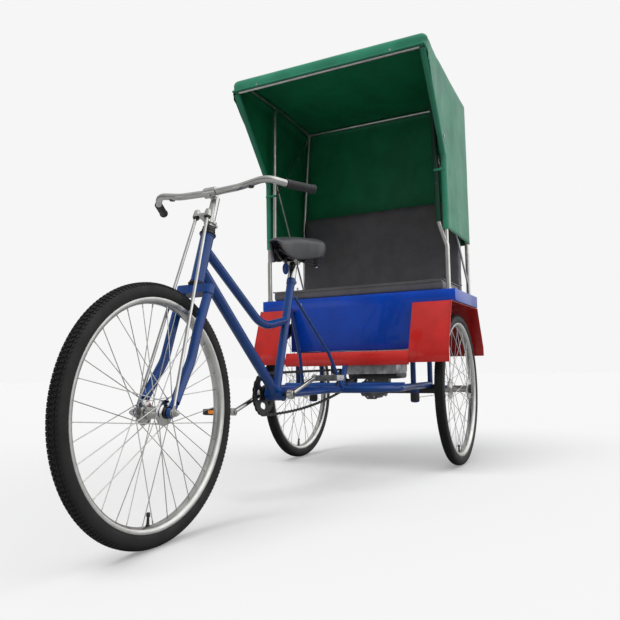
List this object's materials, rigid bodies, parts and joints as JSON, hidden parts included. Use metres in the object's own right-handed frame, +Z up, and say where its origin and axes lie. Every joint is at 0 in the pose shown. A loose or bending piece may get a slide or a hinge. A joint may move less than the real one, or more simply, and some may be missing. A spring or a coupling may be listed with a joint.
{
  "type": "electric passenger tricycle",
  "caption": "Pedal and electric tricycle with one steered front wheel, two driven rear wheels, a passenger bench and a fabric canopy.",
  "frame": {"origin": "on the ground, halfway between the front and rear axles, in the middle plane", "axes": "+X forward, +Y to the rider's left, +Z up"},
  "size_m": [2.4019, 0.98, 1.86],
  "materials": {
    "frame_blue": "glossy royal blue enamel",
    "box_blue": "glossy bright blue enamel",
    "guard_red": "glossy red enamel",
    "canopy_green": "coated canvas",
    "vinyl_black": "grained vinyl",
    "chrome": "bright plated",
    "zinc_steel": "galvanised steel",
    "cast_alloy": "cast grey alloy",
    "black_steel": "black oxide steel",
    "grip_rubber": "matt rubber",
    "black_plastic": "moulded plastic",
    "tyre": "black rubber tyre"
  },
  "bodies": {
    "chassis": {"main_frame": "frame_blue", "seat_stays": "frame_blue", "rear_hoop": "frame_blue", "chassis_posts": "frame_blue", "floor_rails": "box_blue", "axle_tubes": "frame_blue", "differential": "cast_alloy", "motor": "cast_alloy", "battery_pack": "black_plastic", "seat_box": "box_blue", "deck": "box_blue", "footboard": "guard_red", "mudguard_left": "guard_red", "mudguard_right": "guard_red", "seat_cushion": "vinyl_black", "backrest": "vinyl_black", "canopy_frame": "zinc_steel", "canopy": "canopy_green", "headset_lower": "black_steel", "headset_upper": "black_steel", "seat_post": "zinc_steel", "saddle": "vinyl_black", "sprocket": "black_steel", "sprocket_bracket": "black_steel", "chain": "black_steel"},
    "steering": {"fork": "frame_blue", "stem": "chrome", "locknut": "black_steel", "handlebar": "chrome", "grip_left": "grip_rubber", "grip_right": "grip_rubber", "stay_bracket": "zinc_steel", "fork_stays": "zinc_steel", "front_axle": "chrome"},
    "front_wheel": {"front_wheel_tyre": "tyre", "front_wheel_rim": "chrome", "front_wheel_hub": "zinc_steel", "front_wheel_spokes": "chrome"},
    "rear_wheel_left": {"rear_wheel_left_tyre": "tyre", "rear_wheel_left_rim": "chrome", "rear_wheel_left_hub": "zinc_steel", "rear_wheel_left_spokes": "chrome"},
    "rear_wheel_right": {"rear_wheel_right_tyre": "tyre", "rear_wheel_right_rim": "chrome", "rear_wheel_right_hub": "zinc_steel", "rear_wheel_right_spokes": "chrome"},
    "crankset": {"spindle": "chrome", "chainring": "black_steel", "crank_left": "chrome", "crank_right": "chrome", "pedal_left": "black_plastic", "pedal_right": "black_plastic"}
  },
  "joints": [
    {"name": "steering_turn", "type": "hinge", "parent": "chassis", "child": "steering", "pos_m": [0.647, 0, 0.732], "axis": [-0.3396, 0, 0.9406], "range_deg": [-45, 45]},
    {"name": "front_wheel_spin", "type": "hinge", "parent": "steering", "child": "front_wheel", "pos_m": [0.845, 0, 0.356], "axis": [0, 1, 0], "continuous": true},
    {"name": "rear_wheel_left_spin", "type": "hinge", "parent": "chassis", "child": "rear_wheel_left", "pos_m": [-0.845, 0.423, 0.356], "axis": [0, 1, 0], "continuous": true},
    {"name": "rear_wheel_right_spin", "type": "hinge", "parent": "chassis", "child": "rear_wheel_right", "pos_m": [-0.845, -0.423, 0.356], "axis": [0, 1, 0], "continuous": true},
    {"name": "crank_spin", "type": "hinge", "parent": "chassis", "child": "crankset", "pos_m": [0.17, 0, 0.375], "axis": [0, 1, 0], "continuous": true}
  ]
}
